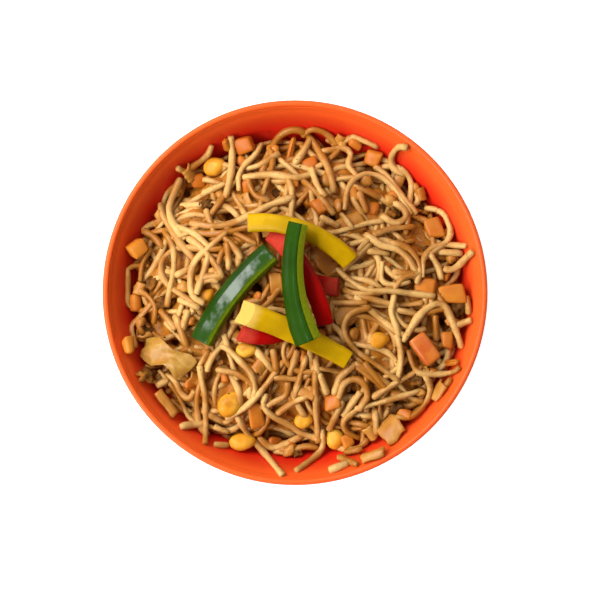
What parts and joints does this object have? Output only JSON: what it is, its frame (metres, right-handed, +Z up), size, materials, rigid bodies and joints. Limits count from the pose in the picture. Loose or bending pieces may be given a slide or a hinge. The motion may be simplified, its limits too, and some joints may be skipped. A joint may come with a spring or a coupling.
{
  "type": "bowl of noodles",
  "caption": "Round plastic bowl heaped with sauced noodles and diced vegetables, topped with strips of bell pepper; a ready meal to set on a table.",
  "frame": {"origin": "middle of the underside of the foot ring, on the table", "axes": "+Z up; +X to the right and +Y away as the bowl is seen from above in the picture"},
  "size_m": [0.16, 0.16, 0.0813],
  "materials": {
    "bowl": "smooth orange plastic with a soft gloss",
    "noodles": "cooked wheat noodles in a thin golden-brown sauce",
    "cabbage": "cooked cabbage, pale yellow",
    "carrot": "cooked carrot",
    "red_pepper": "raw red bell pepper, glossy skin",
    "green_pepper": "raw green bell pepper, glossy skin",
    "yellow_pepper": "raw yellow bell pepper, glossy skin"
  },
  "bodies": {
    "root": {"bowl": "bowl", "noodle_heap": "noodles", "cabbage_leaf": "cabbage", "carrot_stick": "carrot", "red_pepper_right": "red_pepper", "red_pepper_long": "red_pepper", "red_pepper_lower": "red_pepper", "green_pepper_left": "green_pepper", "yellow_pepper_lower": "yellow_pepper", "yellow_pepper_upper": "yellow_pepper", "green_pepper_right": "green_pepper"}
  },
  "joints": []
}
